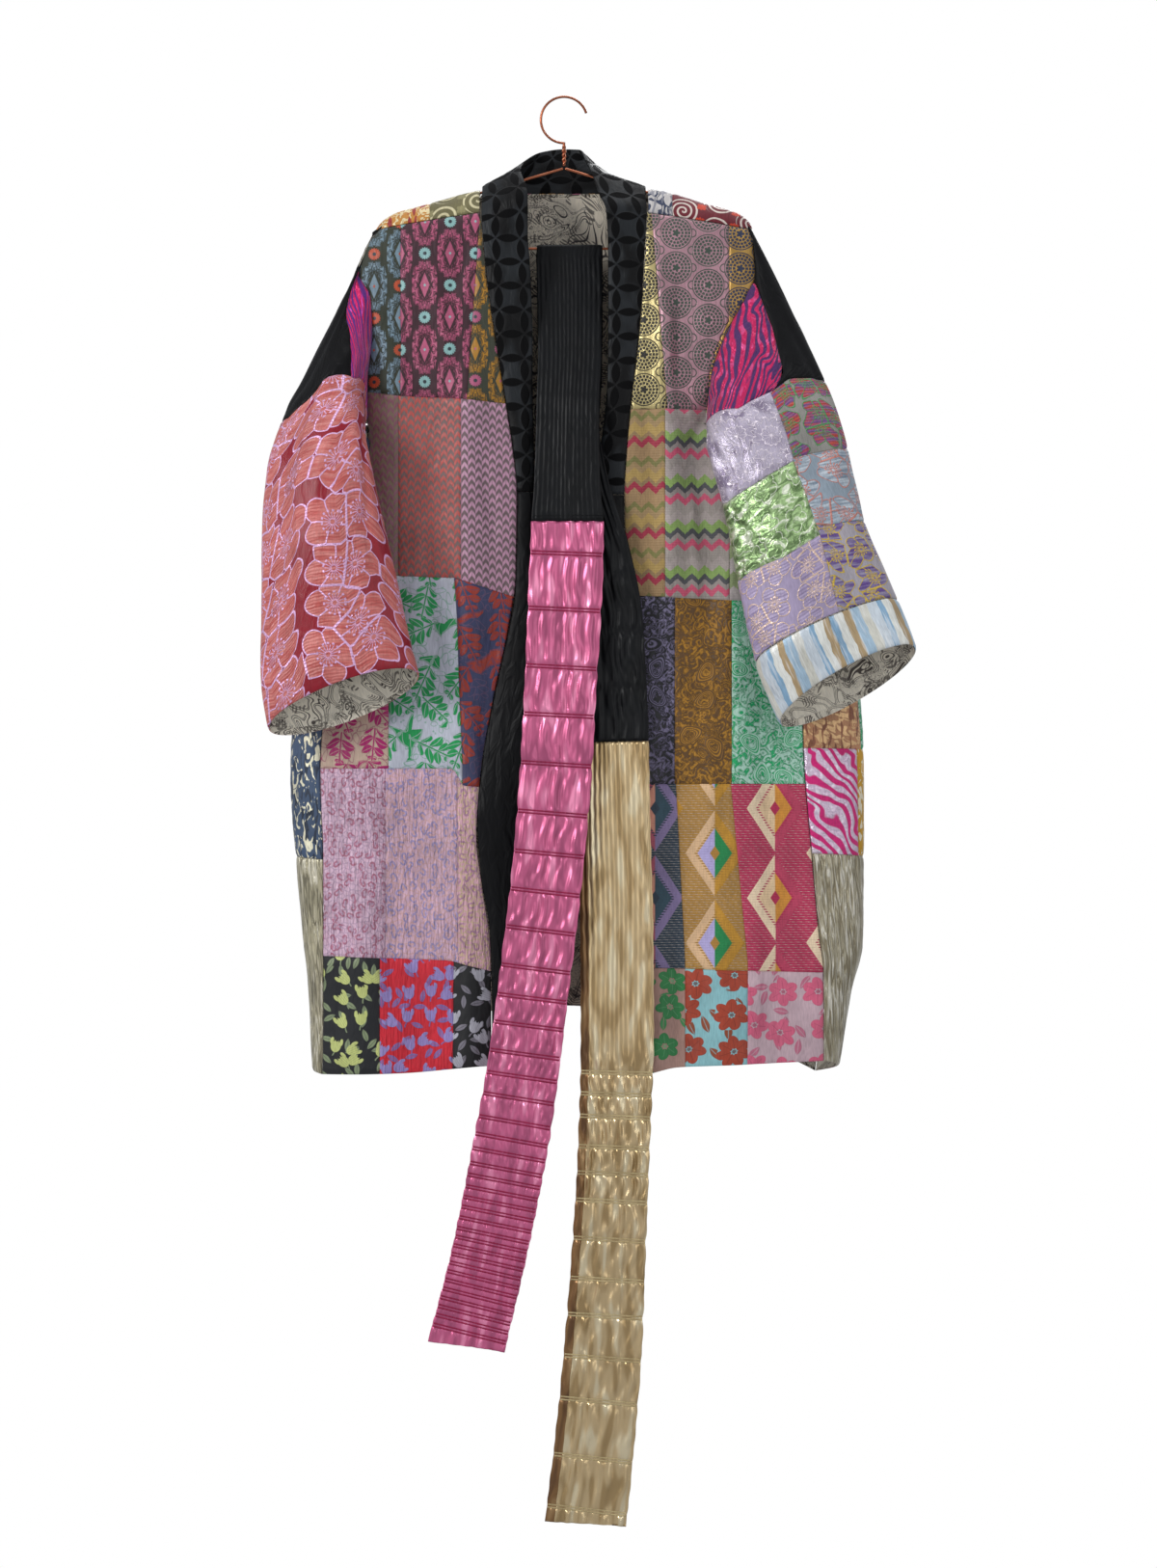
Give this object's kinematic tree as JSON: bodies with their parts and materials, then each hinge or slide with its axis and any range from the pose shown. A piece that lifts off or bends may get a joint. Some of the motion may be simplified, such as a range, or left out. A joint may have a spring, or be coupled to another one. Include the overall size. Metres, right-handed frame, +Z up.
{
  "type": "patchwork kimono jacket with sash on a wire hanger",
  "caption": "Loose patchwork kimono jacket with wide open sleeves and a long collar band, hanging open on a wire hanger with its shirred sash over the bar.",
  "frame": {"origin": "inside of the hook's crown, where the hanger rests on a rail", "axes": "+Z up, the fronts of the jacket face -Y, +X towards the wearer's left; the longest extent is along Z and the shortest along Y"},
  "size_m": [0.6677, 0.1724, 1.4715],
  "materials": {
    "copper_wire": "drawn copper-coloured wire",
    "brocade_rose": "jacquard patchwork",
    "brocade_ochre": "jacquard patchwork",
    "brocade_navy": "jacquard with metallic threads",
    "brocade_magenta": "jacquard with metallic threads",
    "brocade_olive": "jacquard",
    "brocade_burgundy": "jacquard",
    "brocade_coral": "shiny floral jacquard",
    "brocade_lilac": "shiny floral jacquard",
    "brocade_pale_blue": "striped jacquard",
    "lining": "printed smooth lining",
    "black_velvet": "velvet with satin figures",
    "black_satin": "satin",
    "metallic_pink": "shirred metallic cloth",
    "metallic_gold": "shirred metallic cloth"
  },
  "bodies": {
    "root": {"hanger_hook": "copper_wire", "hanger_arm_right": "copper_wire", "hanger_arm_left": "copper_wire", "hanger_bar": "copper_wire", "front_right": "brocade_rose", "front_left": "brocade_ochre", "side_panel_right": "brocade_navy", "side_panel_left": "brocade_magenta", "shoulder_yoke_right": "brocade_olive", "shoulder_yoke_left": "brocade_burgundy", "back": "brocade_rose", "back_lining": "lining", "sleeve_right": "brocade_coral", "sleeve_left": "brocade_lilac", "cuff_left": "brocade_pale_blue", "sleeve_lining_right": "lining", "sleeve_lining_left": "lining", "collar_band_upper": "black_velvet", "collar_band_lower_right": "black_satin", "collar_band_lower_left": "black_satin", "sash_middle": "black_satin", "sash_end_pink": "metallic_pink", "sash_end_gold": "metallic_gold"}
  },
  "joints": []
}
